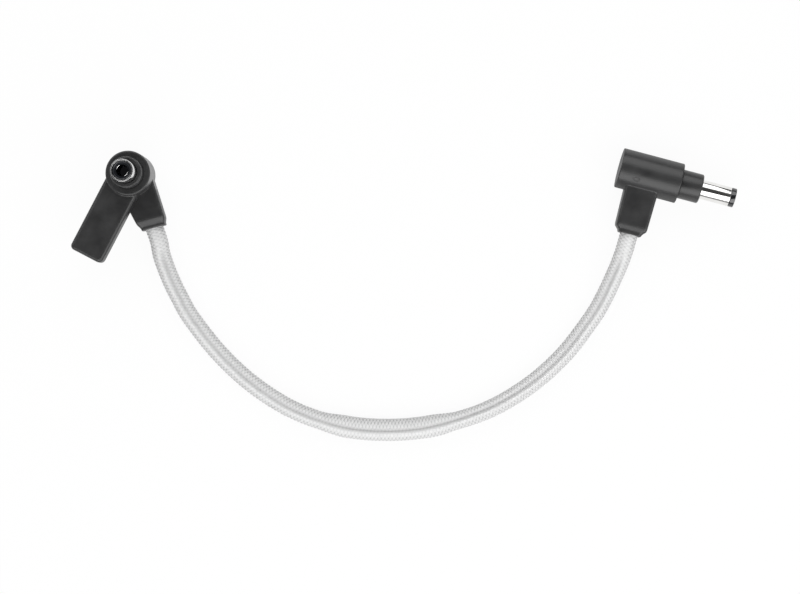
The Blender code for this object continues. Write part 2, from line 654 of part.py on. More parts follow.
def plain_plug():
    """The fixed right-angle plug: moulded body with its leg, inner mould, barrel and wiring."""
    radius = PLAIN_D / 2
    outline = [
        (0, BODY_LENGTH),
        (radius - BODY_EDGE, BODY_LENGTH),
        (radius, BODY_LENGTH - BODY_EDGE),
        (radius, BODY_EDGE),
        (radius - BODY_EDGE, 0),
        (0, 0),
    ]
    body = turned("plain_plug_body", outline, plain_frame, BLACK_PVC, OUTER_SEGMENTS)
    sections = []
    for x, width, depth in (
        (0, PLAIN_LEG_ROOT_WIDTH, PLAIN_LEG_ROOT_DEPTH),
        (PLAIN_LEG_REACH - LEG_FOLD, PLAIN_LEG_FOLD_WIDTH, PLAIN_LEG_FOLD_DEPTH),
        (PLAIN_LEG_REACH, PLAIN_LEG_END_WIDTH, PLAIN_LEG_END_DEPTH),
    ):
        sections.append((x, depth / 2, PLAIN_LEG_AXIS - width / 2, PLAIN_LEG_AXIS + width / 2))
    combine(body, leg_form("plain_leg_form", plain_frame, *sections), "UNION")
    core = PLAIN_SLEEVE_D / 2 + FIT + PLAIN_CORE_WALL
    chamber = disc(core + FIT, PLAIN_REAR_WALL, BODY_LENGTH + BEYOND)
    combine(body, turned("plain_chamber", chamber, plain_frame, segments=OUTER_SEGMENTS), "DIFFERENCE")
    spread = WIRE_SPREAD / 2
    solder_r = SOLDER_D / 2
    lug_low = PLAIN_TUBE_END + LUG_SET_BACK
    positive_height = PLAIN_ROD_END + SOLDER_D
    negative_height = lug_low - FIT - solder_r
    lowest = min(positive_height, negative_height, PLAIN_LEG_AXIS)
    highest = max(positive_height, negative_height, PLAIN_LEG_AXIS)
    passage_r = math.hypot(spread, (highest - lowest) / 2) + WIRE_D / 2 + WIRE_CLEAR
    leg = (PLAIN_LEG_REACH, PLAIN_LEG_AXIS, (lowest + highest) / 2, passage_r)
    back = cut_leg(body, "plain", plain_frame, *leg)

    nose = PLAIN_NOSE_D / 2
    tube_bore = PLAIN_TAIL_TUBE_D / 2 + FIT
    sleeve_bore = PLAIN_SLEEVE_D / 2 + FIT
    inner_mould = [
        (nose - NOSE_EDGE, NOSE_TOP),
        (nose, NOSE_TOP - NOSE_EDGE),
        (nose, BODY_LENGTH + FIT),
        (core, BODY_LENGTH + FIT),
        (core, PLAIN_CORE_LOW),
        (tube_bore, PLAIN_CORE_LOW),
        (tube_bore, SLEEVE_SHOULDER - FIT),
        (sleeve_bore, SLEEVE_SHOULDER - FIT),
        (sleeve_bore, NOSE_TOP),
    ]
    turned("plain_inner_mould", inner_mould, plain_frame, BLACK_NYLON, OUTER_SEGMENTS, closed=True)

    sizes = (
        PLAIN_SLEEVE_D,
        PLAIN_TAIL_TUBE_D,
        PLAIN_BORE_D,
        PLAIN_CONTACT_WALL,
        PLAIN_MOUTH_LEAD,
        PLAIN_SLEEVE_TOP,
        BARREL_TOP,
        BARREL_TOP - PLAIN_CONTACT_SET_BACK,
        PLAIN_TUBE_END,
        PLAIN_BUSH_LOW,
        PLAIN_ROD_END,
    )
    barrel("plain", plain_frame, sizes)

    lug_in = PLAIN_TAIL_TUBE_D / 2 + FIT
    lug_out = lug_in + LUG_WIDTH
    lug_ring = ring(lug_in, lug_out, lug_low, lug_low + LUG_THICKNESS)
    lug = turned("plain_sleeve_lug", lug_ring, plain_frame, BRASS, closed=True)
    tab_end = core + FIT + SOLDER_D
    combine(lug, tab("lug_tab", plain_frame, (lug_in + lug_out) / 2, tab_end, -1, lug_low), "UNION")

    cord_end("plain", plain_frame, PLAIN_LEG_REACH, PLAIN_LEG_AXIS)
    rod_reach = ROD_D / 2 + FIT + solder_r
    positive_x = math.sqrt(rod_reach**2 - (spread / 2) ** 2)
    joints = (
        ("positive", Vector((positive_x, spread / 2, positive_height)), 1, RED_PVC),
        ("negative", Vector((tab_end - solder_r, -spread, negative_height)), -1, DARK_PVC),
    )
    for pole, place, side, colour in joints:
        solder(f"plain_{pole}_solder", plain_frame, place)
        start = place + Vector((solder_r + FIT, 0, 0))
        end = Vector((back - FIT, side * spread, PLAIN_LEG_AXIS))
        wire(f"plain_{pole}_wire", plain_frame, start, end, colour)


def smooth_points(points, step):
    """Points a step apart along a Catmull-Rom curve from the second to the last but one of the points."""
    fine = []
    for a, b, c, d in zip(points, points[1:], points[2:], points[3:]):
        for part in range(20):
            t = part / 20
            bend = 2 * a - 5 * b + 4 * c - d
            turn = 3 * b - a - 3 * c + d
            fine.append((2 * b + (c - a) * t + bend * t**2 + turn * t**3) / 2)
    fine.append(points[-2])
    lengths = [0]
    for a, b in zip(fine, fine[1:]):
        lengths.append(lengths[-1] + (b - a).length)
    count = math.ceil(lengths[-1] / step)
    even = []
    for number in range(count + 1):
        target = lengths[-1] * number / count
        i = max(1, next(k for k, length in enumerate(lengths) if length >= target - MERGE))
        share = (target - lengths[i - 1]) / (lengths[i] - lengths[i - 1])
        even.append(fine[i - 1].lerp(fine[i], share))
    return even


def cord():
    """The braided cord between the two legs, as one tube."""
    bpy.context.view_layer.update()
    ends = []
    for frame, reach, axis in (
        (elbow_frame, SWIVEL_LEG_REACH, SWIVEL_LEG_AXIS),
        (plain_frame, PLAIN_LEG_REACH, PLAIN_LEG_AXIS),
    ):
        ends.append([frame.matrix_world @ Vector((x, 0, axis)) for x in (reach - CORD_SOCKET, reach)])
    route = [*ends[0], *CORD_ROUTE, *reversed(ends[1])]
    curve = bpy.data.curves.new("cord", "CURVE")
    curve.dimensions = "3D"
    curve.bevel_depth = CORD_D / 2
    curve.bevel_resolution = 3
    curve.use_fill_caps = True
    points = [route[0], *smooth_points(route, CORD_STEP * CORD_D), route[-1]]
    spline = curve.splines.new("POLY")
    spline.points.add(len(points) - 1)
    for point, place in zip(spline.points, points):
        point.co = (*place, 1)
    new_object("cord", curve, None, BRAID)


def shade_parts():
    """Turn each part's modifiers into its mesh, smooth on its round sides and sharp on its edges."""
    graph = bpy.context.evaluated_depsgraph_get()
    finished = []
    for obj in parts.objects:
        if obj.type == "MESH":
            finished.append((obj, bpy.data.meshes.new_from_object(obj.evaluated_get(graph))))
    for obj, mesh in finished:
        obj.modifiers.clear()
        mesh.name = obj.name
        obj.data = mesh
        mesh.shade_smooth()
        mesh.set_sharp_from_angle(angle=math.radians(30))


clear_scene()
parts = new_collection("swivel_plug_lead")
cutters = new_collection("cutters")

BLACK_PVC = new_material("black_pvc", (0.022, 0.022, 0.024), 0.45)
BLACK_NYLON = new_material("black_nylon", (0.018, 0.018, 0.02), 0.35)
TIP_PLASTIC = new_material("tip_plastic", (0.012, 0.012, 0.016), 0.2)
PALE_PLASTIC = new_material("pale_plastic", (0.75, 0.73, 0.66), 0.5)
DARK_PVC = new_material("dark_pvc", (0.03, 0.03, 0.03), 0.5)
RED_PVC = new_material("red_pvc", (0.5, 0.03, 0.03), 0.5)
RUBBER = new_material("rubber", (0.02, 0.02, 0.02), 0.7)
BRAID = new_material("braid", (0.72, 0.73, 0.75), 0.8)
NICKEL = new_material("nickel", (0.8, 0.79, 0.77), 0.15, 1.0)
BRASS = new_material("brass", (0.78, 0.6, 0.3), 0.3, 1.0)
STEEL = new_material("steel", (0.6, 0.6, 0.62), 0.3, 1.0)
SOLDER = new_material("solder", (0.68, 0.68, 0.7), 0.35, 1.0)

UP = Vector((0, 0, 1))


def heading(degrees):
    turn = math.radians(degrees)
    return Vector((math.cos(turn), math.sin(turn), 0))


swivel_place = Vector((SWIVEL_X, SWIVEL_Y, 0))
elbow_frame = new_frame("elbow_frame", swivel_place, heading(SWIVEL_LEG_DEG), UP)
head_frame = new_frame("head_frame", swivel_place, heading(TAIL_DEG), UP)
plain_place = Vector((PLAIN_X, PLAIN_Y, PLAIN_D / 2))
plain_frame = new_frame("plain_frame", plain_place, heading(PLAIN_AXIS_DEG - 90), heading(PLAIN_AXIS_DEG))

elbow()
swivel_head()
plain_plug()
cord()
bpy.context.view_layer.update()
shade_parts()
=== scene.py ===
"""Looks of a short braided lead with a swivelling right-angle barrel plug and a plain one.

Each plug is shaped about its own axis: local Z runs from its rear end to its tip, and local X runs
along its cord leg or its tail. All lengths are in metres.
"""

import json
import math

import bmesh
import bpy
from mathutils import Matrix, Vector


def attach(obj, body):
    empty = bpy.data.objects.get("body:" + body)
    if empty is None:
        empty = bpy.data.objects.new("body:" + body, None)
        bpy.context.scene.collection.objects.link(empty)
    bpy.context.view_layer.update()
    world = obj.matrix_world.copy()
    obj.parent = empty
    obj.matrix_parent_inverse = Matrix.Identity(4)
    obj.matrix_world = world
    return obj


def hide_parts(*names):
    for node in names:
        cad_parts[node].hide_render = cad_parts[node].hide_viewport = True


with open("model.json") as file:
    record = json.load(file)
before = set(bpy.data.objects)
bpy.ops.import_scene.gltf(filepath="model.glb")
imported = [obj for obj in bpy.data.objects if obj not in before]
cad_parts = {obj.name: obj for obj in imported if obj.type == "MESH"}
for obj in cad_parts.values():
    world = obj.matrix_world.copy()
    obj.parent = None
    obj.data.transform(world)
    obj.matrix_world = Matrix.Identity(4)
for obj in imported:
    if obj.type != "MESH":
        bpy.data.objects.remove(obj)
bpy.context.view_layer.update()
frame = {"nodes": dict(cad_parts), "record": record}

MM = 0.001
UP = Vector((0, 0, 1))

# Steps round a turned form, segments of roundings, merging distance and least angle of a sharp edge
AROUND = 96
EDGE_SEGMENTS = 3
SOFT_SEGMENTS = 5
CORNER_SEGMENTS = 8
MERGE = 0.0001 * MM
SHARP = math.radians(30)

# Camera over the middle of the lead
CAMERA_PLACE = Vector((-1.82, -26.13, 757)) * MM
CAMERA_LENS = 118.5
CAMERA_SENSOR = 36

# Clearances
FIT = 0.1 * MM
SEAT = 0.25 * MM
CORD_CLEAR = 0.15 * MM
BEYOND = 1.0 * MM

# Sizes that both plugs share, with heights from a plug's rear end
BODY_TOP = 17.8 * MM
NOSE_TOP = 24.0 * MM
NOSE_EDGE = 0.3 * MM
BARREL_TOP = 34.0 * MM
SLEEVE_SHOULDER = 14.6 * MM
SLEEVE_WALL = 0.4 * MM
CONTACT_LOW = 23.25 * MM
BORE_FLOOR = 1.0 * MM
ROD_R = 0.8 * MM
SLOT_DEG = 168.6
SLOT_WIDTH = 0.7 * MM
SLOT_MOUTH = 2.9 * MM
SLOT_DEPTH = 6.5 * MM

# Roundings of edges
BODY_ROUND = 0.35 * MM
PLAIN_ROUND = 0.12 * MM
LEG_ROUND = 0.8 * MM
COVER_ROUND = 0.1 * MM
NOSE_ROUND = 0.12 * MM
SLEEVE_ROUND = 0.1 * MM
TIP_ROUND = 0.14 * MM
CONTACT_ROUND = 0.15 * MM

# Swivelling plug
TAIL_DEG = 242.4
SWIVEL_LEG_DEG = 292.5
HEAD_R = 6.3 * MM
HEAD_LOW = 8.9 * MM
SWIVEL_CORE_R = 4.2 * MM
HEAD_BORE_R = SWIVEL_CORE_R + FIT
TAIL_REACH = 26.3 * MM
TAIL_WIDTH = 10.0 * MM
TAIL_OFFSET = -0.2 * MM
TAIL_DRAFT = 0.15 * MM
TAIL_LOW = 9.1 * MM
TAIL_TOP = 14.9 * MM
TAIL_CORNER = 1.3 * MM
TAIL_FRONT_ROUND = 0.9 * MM
TAIL_BACK_ROUND = 0.4 * MM
SWIVEL_NOSE_R = 4.4 * MM
HUB_R = 3.2 * MM
HUB_LOW = 4.9 * MM
HUB_GROOVE_R = 2.7 * MM
HUB_GROOVE_LOW = 5.7 * MM
HUB_GROOVE_TOP = 6.6 * MM
ELBOW_R = 6.2 * MM
ELBOW_TOP = 8.6 * MM
BEARING_R = HUB_R + FIT
CAVITY_R = 4.8 * MM
WEB_LOW = 6.8 * MM
SEAL_R = 4.7 * MM
SEAL_HALF_GROOVE = 0.6 * MM
SEAL_FLOOR = 7.5 * MM
COVER_R = 5.2 * MM
COVER_TOP = 1.0 * MM
COVER_FOOT = 0.9 * MM
COVER_HOLLOW = 0.2 * MM
COVER_RECESS_R = COVER_R + FIT
COVER_LEDGE = COVER_TOP + FIT
SWIVEL_LEG_AXIS = 4.4 * MM
SWIVEL_LEG_REACH = 16.4 * MM
SWIVEL_LEG_SKEW = math.tan(math.radians(7))
SWIVEL_PASSAGE_R = 2.3 * MM
SWIVEL_SLEEVE_R = 3.15 * MM
SWIVEL_TUBE_R = 2.2 * MM
SWIVEL_BORE_R = 1.5 * MM
SWIVEL_CONTACT_WALL = 0.5 * MM
SWIVEL_MOUTH_LEAD = 0.7 * MM
SWIVEL_TIP_TOP = 33.7 * MM
SWIVEL_CONTACT_TOP = 32.4 * MM
SWIVEL_ROD_END = 1.35 * MM

# Sections of its leg: distance from the leg's end, half width and half depth, in mm
SWIVEL_LEG_SECTIONS = (
    (SWIVEL_LEG_REACH / MM, 5.45, 4.0),
    (3.2, 4.22, 4.0),
    (2.6, 4.17, 3.94),
    (2.0, 4.06, 3.78),
    (1.4, 3.8, 3.57),
    (0.8, 3.5, 3.4),
    (0, 3.4, 3.36),
)

# Plain plug
PLAIN_R = 5.75 * MM
PLAIN_CORE_R = 3.6 * MM
PLAIN_CORE_LOW = 8.7 * MM
PLAIN_CHAMBER_R = PLAIN_CORE_R + FIT
PLAIN_REAR_WALL = 2.0 * MM
PLAIN_NOSE_R = 4.2 * MM
PLAIN_LEG_AXIS = 7.55 * MM
PLAIN_LEG_REACH = 17.8 * MM
PLAIN_SLEEVE_R = 2.75 * MM
PLAIN_TUBE_R = 2.0 * MM
PLAIN_TUBE_END = 6.6 * MM
PLAIN_BORE_R = 1.25 * MM
PLAIN_CONTACT_WALL = 0.45 * MM
PLAIN_MOUTH_LEAD = 0.35 * MM
PLAIN_SLEEVE_TOP = 32.5 * MM
PLAIN_CONTACT_TOP = 33.45 * MM
PLAIN_ROD_END = 4.0 * MM
PLAIN_PASSAGE_AXIS = 6.0 * MM
PLAIN_PASSAGE_R = 2.6 * MM

# Sections of its leg: distance from the leg's end, half depth and half width, in mm
PLAIN_LEG_SECTIONS = (
    (PLAIN_LEG_REACH / MM, 3.7, 4.85),
    (2.8, 3.7, 4.52),
    (2.3, 3.64, 4.5),
    (1.7, 3.5, 4.4),
    (1.2, 3.36, 3.9),
    (0.7, 3.3, 3.45),
    (0, 3.28, 3.2),
)

# Mould's gate mark on the plain plug
GATE_FROM_REAR = 5.15 * MM
GATE_TURN_DEG = 24
GATE_LENGTH = 1.8 * MM
GATE_WIDTH = 1.05 * MM
GATE_BEAD = 0.25 * MM
GATE_SIDES = 10
GATE_STEPS = 48

# Moulded skin
VOXEL = 0.17 * MM
SKIN_PASSES = 2
SKIN_MELT = 0.5

# Cord
CORD_D = 5.2 * MM
CORD_SOCKET = 2.5 * MM
CORD_POCKET_R = 3.3 * MM
CORD_END_LENGTH = 4.0 * MM
CORD_ROUTE = [
    Vector(point) * MM
    for point in (
        (-70.7, -10.3, 4.3),
        (-69.8, -14.8, 3.6),
        (-67.6, -20.8, 2.95),
        (-64.8, -26.6, 2.63),
        (-61.5, -32.3, 2.6),
        (-53.3, -42.6, 2.6),
        (-43.3, -51.7, 2.6),
        (-31.5, -58.9, 2.6),
        (-18.2, -63.1, 2.6),
        (-4.3, -64.2, 2.6),
        (9.5, -62.7, 2.6),
        (22.8, -58.7, 2.6),
        (34.8, -51.8, 2.6),
        (44.9, -42.9, 2.6),
        (53.1, -32.3, 2.63),
        (56.4, -26.7, 2.95),
        (59.1, -20.9, 3.8),
        (61.5, -15, 5),
    )
]
CURVE_PARTS = 20
CORD_RINGS = 1150
CORD_SIDES = 72
STRANDS = 8
CROSSINGS = 196
YARNS = 4
STRAND_RELIEF = 0.18 * MM
CORD_WIDTH = 4.9 * MM
CORD_HEIGHT = 4.6 * MM
CORD_FLAT_WIDTH = 6.2 * MM
CORD_FLAT_HEIGHT = 4.2 * MM
CORD_FLAT_START = 78 * MM
CORD_FLAT_END = 119 * MM
CORD_FLAT_EASE = 8 * MM
CORD_VALLEY = 0.9 * MM
CORD_VALLEY_WIDTH = 0.55 * MM
CORD_VALLEY_START = 4 * MM
CORD_VALLEY_EASE = 7 * MM

# How far the cord's two lobes are turned about its line, in degrees, at distances in mm along it
CORD_TURNS = ((0, -7), (74, -2), (89, 11), (104, 8), (124, -16), (160, -9), (200, -8))

# Strands of the braid: how full their crowns are, and shares of their height that are left where one goes
# under the next and on the cord's top and bottom
STRAND_FULLNESS = 0.6
STRAND_UNDER = 0.45
STRAND_TOP = 0.7

# Table, studio and lamps
TABLE_HALF = 4.0
TABLE_GLOW = 0.94
WALL_TONE = 0.45
OPENING_TONE = 0.06
LAMP_AIM = Vector((0, -20, 0)) * MM


def heading(degrees):
    """Level direction at an angle from X towards Y."""
    angle = math.radians(degrees)
    return Vector((math.cos(angle), math.sin(angle), 0))


def plug_place(rear, arm, axis):
    """Matrix from a plug's own axes to the row's frame."""
    turn = Matrix((arm, axis.cross(arm), axis)).transposed().to_4x4()
    return Matrix.Translation(rear) @ turn


mounts = {mount["name"]: mount for mount in frame["record"]["mounts"]}
swivel_rear = Vector(mounts["rest_face"]["pos_m"])
plain_axis = Vector(mounts["plain_nose_face"]["axis"]).normalized()
plain_front = Vector(mounts["plain_nose_face"]["pos_m"])
plain_front.z = PLAIN_R
ELBOW = plug_place(swivel_rear, heading(SWIVEL_LEG_DEG), UP)
HEAD = plug_place(swivel_rear, heading(TAIL_DEG), UP)
PLAIN = plug_place(plain_front - plain_axis * NOSE_TOP, plain_axis.cross(UP), plain_axis)


# Shaping

def round_edges(bm, width, segments=EDGE_SEGMENTS, chosen=None):
    """Round the sharp edges of a form, or the chosen ones."""
    if chosen is None:
        chosen = [edge for edge in bm.edges if edge.is_manifold and edge.calc_face_angle() > SHARP]
    bmesh.ops.bevel(
        bm,
        geom=chosen,
        offset=width,
        offset_type="OFFSET",
        segments=segments,
        profile=0.5,
        affect="EDGES",
        clamp_overlap=True,
        material=-1,
    )


def turned(profile, soft=0.0, steps=AROUND):
    """Turn (radius, height) corners about Z; a profile that doesn't start on the axis closes into a ring."""
    bm = bmesh.new()
    corners = [bm.verts.new((radius, 0, height)) for radius, height in profile]
    ends = corners[1:] if profile[0][0] == 0 else corners[1:] + corners[:1]
    lines = [bm.edges.new(pair) for pair in zip(corners, ends)]
    bmesh.ops.spin(
        bm,
        geom=corners + lines,
        cent=(0, 0, 0),
        axis=UP,
        angle=2 * math.pi,
        steps=steps,
        use_merge=True,
    )
    bmesh.ops.remove_doubles(bm, verts=bm.verts, dist=MERGE)
    bmesh.ops.recalc_face_normals(bm, faces=bm.faces)
    if soft:
        round_edges(bm, soft)
    return bm


def cutter(profile):
    """A turned tool, a third of a step round so that none of its edges falls on an edge of a form."""
    bm = turned(profile)
    bm.transform(Matrix.Rotation(2 * math.pi / AROUND / 3, 4, "Z"))
    return bm


def disc(radius, low, high):
    """Corners that turn into a solid disc."""
    return [(0, high), (radius, high), (radius, low), (0, low)]


def along_leg(bm, leg_axis):
    """Lay a turned form along a leg, from the plug's axis outwards."""
    bm.transform(Matrix.Translation((0, 0, leg_axis)) @ Matrix.Rotation(math.pi / 2, 4, "Y"))
    return bm


def leg_sections(reach, leg_axis, rows):
    """Sections for a leg from rows of its distance from the end and its half sizes along Y and Z."""
    sections = []
    for short, half_y, half_z in rows:
        low = leg_axis - half_z * MM
        high = leg_axis + half_z * MM
        sections.append((reach - short * MM, half_y * MM, low, high))
    return sections


def leg_form(root, *sections, skew=0.0):
    """A tapered leg through sections, each (x, half width along Y, lowest Z, highest Z).

    The skew is how much further every section but the root reaches for each step along Y.
    """
    bm = bmesh.new()
    bmesh.ops.create_cube(bm, size=1)
    level = bm.verts.layers.int.new("level")

    def fit(corners, section, slant, number):
        x, half_width, low, high = section
        middle = sum(corner.co.z for corner in corners) / len(corners)
        for corner in corners:
            side = math.copysign(half_width, corner.co.y)
            corner.co = (x + slant * side, side, high if corner.co.z > middle else low)
            corner[level] = number

    outer = max(bm.faces, key=lambda face: face.calc_center_median().x)
    fit([corner for corner in bm.verts if corner.co.x < 0], root, 0, 0)
    fit(list(outer.verts), sections[0], skew, 1)
    for number, section in enumerate(sections[1:], 2):
        outer = bmesh.ops.extrude_discrete_faces(bm, faces=[outer])["faces"][0]
        fit(list(outer.verts), section, skew, number)
    bmesh.ops.recalc_face_normals(bm, faces=bm.faces)
    long_edges = [edge for edge in bm.edges if edge.verts[0][level] != edge.verts[1][level]]
    round_edges(bm, LEG_ROUND, SOFT_SEGMENTS, long_edges)
    return bm


def tail_form():
    """The head's flat tail: drafted sides, round far corners and soft long edges."""
    bm = bmesh.new()
    bmesh.ops.create_cube(bm, size=1)
    for corner in bm.verts:
        front = corner.co.z > 0
        half_width = TAIL_WIDTH / 2 + (0 if front else TAIL_DRAFT)
        side = TAIL_OFFSET + math.copysign(half_width, corner.co.y)
        corner.co = (TAIL_REACH if corner.co.x > 0 else 0, side, TAIL_TOP if front else TAIL_LOW)

    def upright_far(edge):
        far = all(corner.co.x > TAIL_REACH / 2 for corner in edge.verts)
        return far and abs(edge.verts[0].co.z - edge.verts[1].co.z) > (TAIL_TOP - TAIL_LOW) / 2

    round_edges(bm, TAIL_CORNER, CORNER_SEGMENTS, [edge for edge in bm.edges if upright_far(edge)])
    for width, level in ((TAIL_FRONT_ROUND, TAIL_TOP), (TAIL_BACK_ROUND, TAIL_LOW)):
        rim = [
            edge
            for edge in bm.edges
            if edge.calc_face_angle() > SHARP
            and all(abs(corner.co.z - level) < FIT for corner in edge.verts)
        ]
        round_edges(bm, width, SOFT_SEGMENTS, rim)
    return bm


def spare_object(name, bm):
    """An object of the scene from a form."""
    mesh = bpy.data.meshes.new(name)
    bm.to_mesh(mesh)
    bm.free()
    obj = bpy.data.objects.new(name, mesh)
    bpy.context.scene.collection.objects.link(obj)
    return obj


def worked(base, tools, skin=False):
    """Join or cut a form with others, each (operation, bmesh), and give it an even moulded skin if asked."""
    obj = spare_object("form", base)
    spares = [obj]
    for operation, tool in tools:
        spares.append(spare_object("tool", tool))
        step = obj.modifiers.new(operation, "BOOLEAN")
        step.operation = operation
        step.object = spares[-1]
        step.solver = "EXACT"
    if skin:
        remesh = obj.modifiers.new("Skin", "REMESH")
        remesh.mode = "VOXEL"
        remesh.voxel_size = VOXEL
        smooth = obj.modifiers.new("Melt", "SMOOTH")
        smooth.factor = SKIN_MELT
        smooth.iterations = SKIN_PASSES
    graph = bpy.context.evaluated_depsgraph_get()
    mesh = bpy.data.meshes.new_from_object(obj.evaluated_get(graph))
    bm = bmesh.new()
    bm.from_mesh(mesh)
    bpy.data.meshes.remove(mesh)
    for spare in spares:
        mesh = spare.data
        bpy.data.objects.remove(spare)
        bpy.data.meshes.remove(mesh)
    return bm


def piece(name, bm, place, finish, slot, body, *nodes):
    """Make a form a piece that rides on a body and stands for CAD nodes."""
    bm.transform(place)
    mesh = bpy.data.meshes.new(name)
    bm.to_mesh(mesh)
    bm.free()
    mesh.shade_smooth()
    mesh.set_sharp_from_angle(angle=SHARP)
    mesh.materials.append(finish)
    obj = bpy.data.objects.new(name, mesh)
    bpy.context.scene.collection.objects.link(obj)
    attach(obj, body)
    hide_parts(*nodes)
    return obj


# Tools for finishes

# Most of a noise pattern lies between these values
NOISE_LOW = 0.3
NOISE_HIGH = 0.7


def node(tree, kind, settings=None, **inputs):
    """Add a node; an input is a value for its socket or another node's output."""
    new = tree.nodes.new(kind)
    for name, value in (settings or {}).items():
        setattr(new, name, value)
    for name, value in inputs.items():
        connect(tree, new.inputs[name.replace("_", " ")], value)
    return new


def connect(tree, socket, value):
    """Link an output to a socket, or set the socket to a value."""
    if isinstance(value, bpy.types.NodeSocket):
        tree.links.new(value, socket)
    else:
        socket.default_value = value


def new_finish(name, **constants):
    """A material with its shader, and the object coordinates that its patterns follow."""
    material = bpy.data.materials.new(name)
    material.use_nodes = True
    tree = material.node_tree
    shader = tree.nodes["Principled BSDF"]
    for socket, value in constants.items():
        shader.inputs[socket.replace("_", " ")].default_value = value
    place = node(tree, "ShaderNodeTexCoord").outputs["Object"]
    return material, tree, shader, place


def noise(tree, place, scale, detail=3.0):
    """Noise pattern, finer as its scale grows."""
    return node(tree, "ShaderNodeTexNoise", Vector=place, Scale=scale, Detail=detail).outputs["Fac"]


def span(tree, value, low, high, to_low, to_high):
    """Map a stretch of a value onto another stretch."""
    inputs = {"Value": value, "From_Min": low, "From_Max": high, "To_Min": to_low, "To_Max": to_high}
    return node(tree, "ShaderNodeMapRange", **inputs).outputs["Result"]


def ramp(tree, value, *stops):
    """Colour from a value through stops, each (value, colour)."""
    new = node(tree, "ShaderNodeValToRGB", Fac=value)
    elements = new.color_ramp.elements
    while len(elements) < len(stops):
        elements.new(1.0)
    for element, (position, colour) in zip(elements, stops):
        element.position = position
        element.color = (*colour, 1)
    return new.outputs["Color"]


def greys(tree, value, *stops):
    """Grey from a value through stops, each (value, tone)."""
    return ramp(tree, value, *[(position, (tone, tone, tone)) for position, tone in stops])


def tint(tree, pattern, dark, light):
    """Colour between two tones over the values that a noise pattern has most."""
    return ramp(tree, pattern, (NOISE_LOW, dark), (NOISE_HIGH, light))


def vary(tree, pattern, low, high):
    """Value between two limits over the values that a noise pattern has most."""
    return span(tree, pattern, NOISE_LOW, NOISE_HIGH, low, high)


def blend(tree, share, first, second):
    """Mix two colours by a share; the node's sockets go by number, because several have one name."""
    mix = node(tree, "ShaderNodeMix", {"data_type": "RGBA"})
    connect(tree, mix.inputs[0], share)
    connect(tree, mix.inputs[6], first)
    connect(tree, mix.inputs[7], second)
    return mix.outputs[2]


def along(tree, vector, direction):
    """How far a vector goes along a direction."""
    new = node(tree, "ShaderNodeVectorMath", {"operation": "DOT_PRODUCT"})
    connect(tree, new.inputs[0], vector)
    connect(tree, new.inputs[1], direction)
    return new.outputs["Value"]


def bump(tree, shader, height, distance):
    """Add relief to a shader, over what it has."""
    relief = node(tree, "ShaderNodeBump", Height=height, Distance=distance)
    socket = shader.inputs["Normal"]
    if socket.is_linked:
        tree.links.new(socket.links[0].from_socket, relief.inputs["Normal"])
    tree.links.new(relief.outputs["Normal"], socket)


# Finishes

BLACK_TONES = ((0.021, 0.021, 0.0215), (0.031, 0.031, 0.0315))
FUNNEL_TONES = ((0.014, 0.015, 0.0175), (0.023, 0.0245, 0.028))
TIP_TONES = ((0.008, 0.0085, 0.01), (0.013, 0.014, 0.016))
PALE_TONES = ((0.66, 0.64, 0.56), (0.75, 0.73, 0.66))
RUBBER_TONES = ((0.016, 0.016, 0.017), (0.03, 0.03, 0.031))
NICKEL_TONES = ((0.78, 0.775, 0.76), (0.87, 0.865, 0.85))
DULL_NICKEL_TONES = ((0.52, 0.52, 0.52), (0.63, 0.63, 0.625))
BRASS_TONES = ((0.66, 0.47, 0.2), (0.8, 0.62, 0.32))
STEEL_TONES = ((0.5, 0.5, 0.52), (0.64, 0.64, 0.66))
SOLDER_TONES = ((0.58, 0.58, 0.6), (0.7, 0.7, 0.72))
RED_WIRE_TONES = ((0.42, 0.02, 0.02), (0.54, 0.04, 0.035))
BLACK_WIRE_TONES = ((0.02, 0.02, 0.02), (0.035, 0.035, 0.036))
CORD_END_TONES = ((0.55, 0.555, 0.57), (0.72, 0.725, 0.74))
RUBBED_EDGE = (0.09, 0.09, 0.095, 1)
# Painted shade for the deep part of a contact's bore
BORE_PAINTED_SHADE = (0.1, 0.1, 0.11, 1)
VALLEY_SHADE = (0.48, 0.48, 0.48, 1)
YARN_FLECK = (0.45, 0.45, 0.45, 1)
FINE_GRAIN = 0.001 * MM
MOULD_GRAIN = 0.004 * MM


def moulded_finish(name, tones, roughness, grain, sink, wear=0.0, dull_sides=None, gloss=0.5):
    """Moulded plastic: faint clouding, shallow sinks, fine grain and paler rubbed edges.

    Upright faces can be duller beyond a distance along a direction: (direction, distance, gloss there).
    """
    material, tree, shader, place = new_finish(name, Specular_IOR_Level=gloss)
    cloud = noise(tree, place, scale=240.0)
    geometry = node(tree, "ShaderNodeNewGeometry")
    rubbed = span(tree, geometry.outputs["Pointiness"], 0.53, 0.62, 0.0, wear)
    connect(tree, shader.inputs["Base Color"], blend(tree, rubbed, tint(tree, cloud, *tones), RUBBED_EDGE))
    connect(tree, shader.inputs["Roughness"], vary(tree, cloud, *roughness))
    if dull_sides:
        direction, start, dull = dull_sides
        upright = span(tree, along(tree, place, direction), start, start + 0.5 * MM, gloss, dull)
        level = along(tree, geometry.outputs["Normal"], UP)
        connect(tree, shader.inputs["Specular IOR Level"], span(tree, level, 0.15, 0.55, upright, gloss))
    bump(tree, shader, noise(tree, place, scale=130.0, detail=1.0), sink)
    bump(tree, shader, noise(tree, place, scale=6500.0, detail=2.0), grain)
    return material


